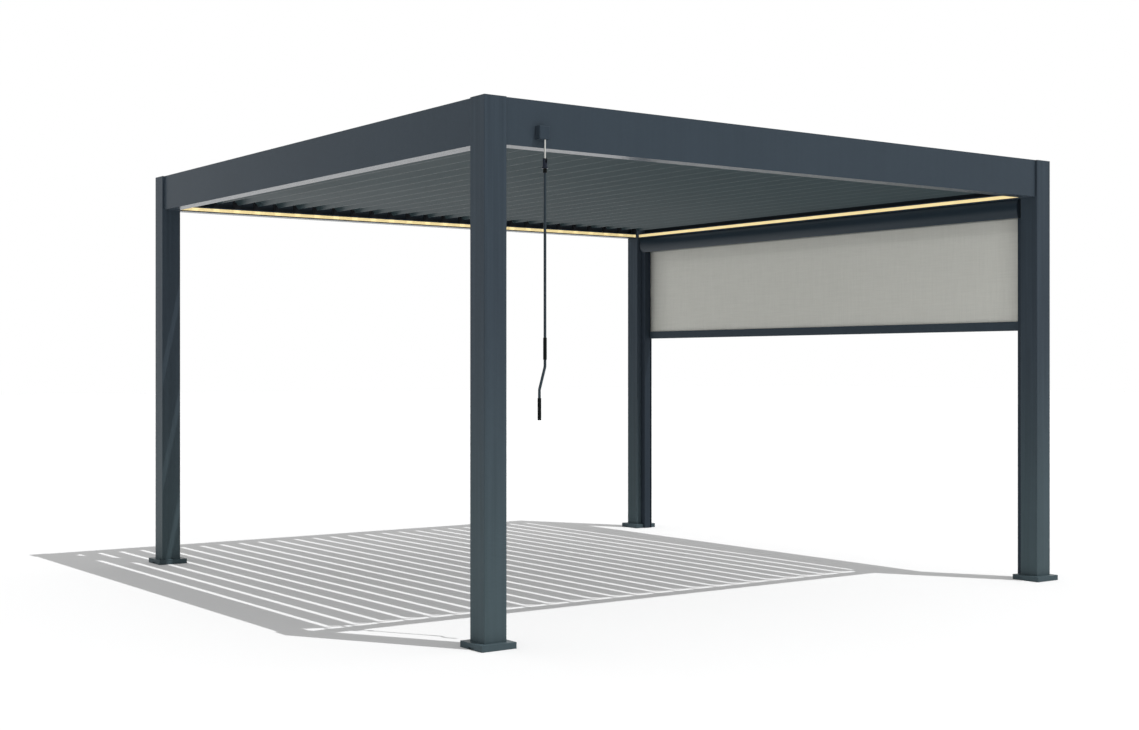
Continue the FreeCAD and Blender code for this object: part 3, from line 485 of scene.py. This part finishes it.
# Painted sheen: the coat grows where the bulge faces down to the pale floor.
housing_sheen = tree.nodes.new("ShaderNodeMapRange")
housing_sheen.inputs["From Min"].default_value = 0.05
housing_sheen.inputs["From Max"].default_value = -0.6
housing_sheen.inputs["To Max"].default_value = 0.65
link(tree, facing, "Z", housing_sheen, "Value")
link(tree, housing_sheen, "Result", tree.nodes["Principled BSDF"], "Coat Weight")
dressed("screen_cassette", "frame", housing_paint, width=0.0010)
dressed("screen_end_plates", "frame", housing_paint, width=0.0006)
dressed("screen_roller", "frame", drawn_aluminium, width=0.0006)
dressed("screen_bottom_bar", "frame", bar_paint, width=0.0010)

# Side guides of the screen: slotted aluminium channels screwed to the inner faces of the
# right posts. They run down through the covers and stand on the floor.
guide_paint = coated("guide paint", linear(50, 59, 68))
# The guides get none of the pale colour painted near the ground for light bounced from the floor.
guide_paint.node_tree.nodes["Group"].inputs["Floor bounce"].default_value = 0.0
floor_gap = 0.0005
for side in ("front", "rear"):
    name = "screen_guide_" + side
    channel = flattened(joined(name))
    lower_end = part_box(name)[0].z + 0.001
    for vertex in channel.verts:
        if vertex.co.z < lower_end:
            vertex.co.z = floor_gap
    guide = dressed(name, "frame", guide_paint, width=0.0008, work=channel)

# Screen fabric: a coated glass-fibre mesh, pale grey, held flat between its two guides and
# the bottom bar, with a fine square weave, faint slubs and a painted shadow band below the
# housing.
low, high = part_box("screen_fabric")
cloth = bmesh.new()
bmesh.ops.create_grid(cloth, x_segments=60, y_segments=12, size=0.5)
wide = high.y - low.y
tall = high.z - low.z
turn = Matrix.Rotation(math.radians(90), 4, "Y")
bmesh.ops.transform(cloth, matrix=turn, verts=cloth.verts)
middle = (low + high) / 2
for vertex in cloth.verts:
    vertex.co = Vector((middle.x, middle.y + vertex.co.y * wide, middle.z + vertex.co.z * tall))
weave = bpy.data.materials.new("screen mesh")
weave.use_nodes = True
tree = weave.node_tree
shader = tree.nodes["Principled BSDF"]
shader.inputs["Roughness"].default_value = 0.75
shader.inputs["Specular IOR Level"].default_value = 0.2
shader.inputs["Subsurface Weight"].default_value = 0.5
shader.inputs["Subsurface Radius"].default_value = (1.0, 1.0, 1.0)
shader.inputs["Subsurface Scale"].default_value = 0.004
place = tree.nodes.new("ShaderNodeTexCoord")
threads = []
for direction in ("Y", "Z"):
    thread = tree.nodes.new("ShaderNodeTexWave")
    thread.wave_type = "BANDS"
    thread.bands_direction = direction
    thread.inputs["Scale"].default_value = 150.0
    link(tree, place, "Object", thread, "Vector")
    threads.append(thread)
cross = tree.nodes.new("ShaderNodeMath")
cross.operation = "MULTIPLY"
link(tree, threads[0], "Fac", cross, 0)
link(tree, threads[1], "Fac", cross, 1)
shade = tree.nodes.new("ShaderNodeMix")
shade.data_type = "RGBA"
shade.inputs[first_colour].default_value = linear(191, 191, 184)
shade.inputs[second_colour].default_value = linear(202, 202, 195)
link(tree, cross, "Value", shade, 0)
slubs = []
for stretch in ((1.0, 0.05, 1.0), (1.0, 1.0, 0.05)):
    along = tree.nodes.new("ShaderNodeMapping")
    along.inputs["Scale"].default_value = stretch
    link(tree, place, "Object", along, "Vector")
    slub = tree.nodes.new("ShaderNodeTexNoise")
    slub.inputs["Scale"].default_value = 110.0
    link(tree, along, "Vector", slub, "Vector")
    slubs.append(slub)
uneven = tree.nodes.new("ShaderNodeMath")
uneven.operation = "ADD"
link(tree, slubs[0], "Fac", uneven, 0)
link(tree, slubs[1], "Fac", uneven, 1)
faded = tree.nodes.new("ShaderNodeMapRange")
faded.inputs["From Min"].default_value = 0.5
faded.inputs["From Max"].default_value = 1.5
faded.inputs["To Min"].default_value = 0.94
faded.inputs["To Max"].default_value = 1.06
link(tree, uneven, "Value", faded, "Value")
height = tree.nodes.new("ShaderNodeSeparateXYZ")
link(tree, place, "Object", height, "Vector")
# Painted shadow: the cloth is slightly darker above a line 78 mm under the housing, where the
# housing keeps the sun off it.
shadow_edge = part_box("screen_cassette")[0].z - 0.078
shadow_band = tree.nodes.new("ShaderNodeMapRange")
shadow_band.inputs["From Min"].default_value = shadow_edge - 0.001
shadow_band.inputs["From Max"].default_value = shadow_edge + 0.001
shadow_band.inputs["To Min"].default_value = 1.0
shadow_band.inputs["To Max"].default_value = 0.975
link(tree, height, "Z", shadow_band, "Value")
toned = tree.nodes.new("ShaderNodeMath")
toned.operation = "MULTIPLY"
link(tree, faded, "Result", toned, 0)
link(tree, shadow_band, "Result", toned, 1)
woven = tree.nodes.new("ShaderNodeVectorMath")
woven.operation = "SCALE"
link(tree, shade, mixed_colour, woven, 0)
link(tree, toned, "Value", woven, "Scale")
link(tree, woven, "Vector", shader, "Base Color")
bump = tree.nodes.new("ShaderNodeBump")
bump.inputs["Strength"].default_value = 0.2
bump.inputs["Distance"].default_value = 0.0003
link(tree, cross, "Value", bump, "Height")
link(tree, bump, "Normal", shader, "Normal")
fabric = keep(cloth, "screen_cloth", "frame", weave)
thick = fabric.modifiers.new("cloth thickness", "SOLIDIFY")
thick.thickness = 0.0008
thick.offset = 0.0
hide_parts("screen_fabric")

# Floor, light and camera: a plain pale floor and backdrop, one high sun from the front right
# that draws the shadow of the louvres, and soft light from all sides.
ground = bmesh.new()
bmesh.ops.create_grid(ground, x_segments=1, y_segments=1, size=60.0)
floor_mesh = bpy.data.meshes.new("floor")
ground.to_mesh(floor_mesh)
ground.free()
floor = bpy.data.objects.new("floor", floor_mesh)
bpy.context.scene.collection.objects.link(floor)
pale = bpy.data.materials.new("pale floor")
pale.use_nodes = True
tree = pale.node_tree
shader = tree.nodes["Principled BSDF"]
shader.inputs["Base Color"].default_value = (0.8, 0.8, 0.8, 1.0)
shader.inputs["Roughness"].default_value = 0.9
shader.inputs["Specular IOR Level"].default_value = 0.0


def background_rays(tree):
    """One for the rays that should meet a white background, zero for the rest."""
    seen = tree.nodes.new("ShaderNodeLightPath")
    either = tree.nodes.new("ShaderNodeMath")
    either.operation = "MAXIMUM"
    link(tree, seen, "Is Camera Ray", either, 0)
    link(tree, seen, "Is Glossy Ray", either, 1)
    also = tree.nodes.new("ShaderNodeMath")
    also.operation = "MAXIMUM"
    link(tree, either, "Value", also, 0)
    link(tree, seen, "Is Transmission Ray", also, 1)
    return also


lift = tree.nodes.new("ShaderNodeMath")
lift.operation = "MULTIPLY"
lift.inputs[1].default_value = 0.075
link(tree, background_rays(tree), "Value", lift, 0)
shader.inputs["Emission Color"].default_value = (1.0, 1.0, 1.0, 1.0)
link(tree, lift, "Value", shader, "Emission Strength")
floor_mesh.materials.append(pale)

world = bpy.data.worlds.new("studio")
bpy.context.scene.world = world
world.use_nodes = True
tree = world.node_tree
sky = tree.nodes["Background"]
sky.inputs["Color"].default_value = (1.0, 1.0, 1.0, 1.0)
level = tree.nodes.new("ShaderNodeMapRange")
level.inputs["To Min"].default_value = 0.555
level.inputs["To Max"].default_value = 1.0
link(tree, background_rays(tree), "Value", level, "Value")
link(tree, level, "Result", sky, "Strength")

sun_light = bpy.data.lights.new("high sun", "SUN")
sun_light.energy = 2.3
sun_light.angle = math.radians(0.3)
sun = bpy.data.objects.new("high sun", sun_light)
bpy.context.scene.collection.objects.link(sun)
travel = Vector((-0.2154, 0.36, -1.0))
sun.rotation_euler = travel.to_track_quat("-Z", "Y").to_euler()

camera_data = bpy.data.cameras.new("camera")
camera_data.lens = 50.0
camera_data.sensor_width = 36.0
camera = bpy.data.objects.new("camera", camera_data)
bpy.context.scene.collection.objects.link(camera)
camera.location = (-5.838, -7.904, 1.278)
camera.rotation_euler = (math.radians(90), 0.0, math.radians(-35.93))
bpy.context.scene.camera = camera
bpy.context.scene.view_settings.view_transform = "Standard"
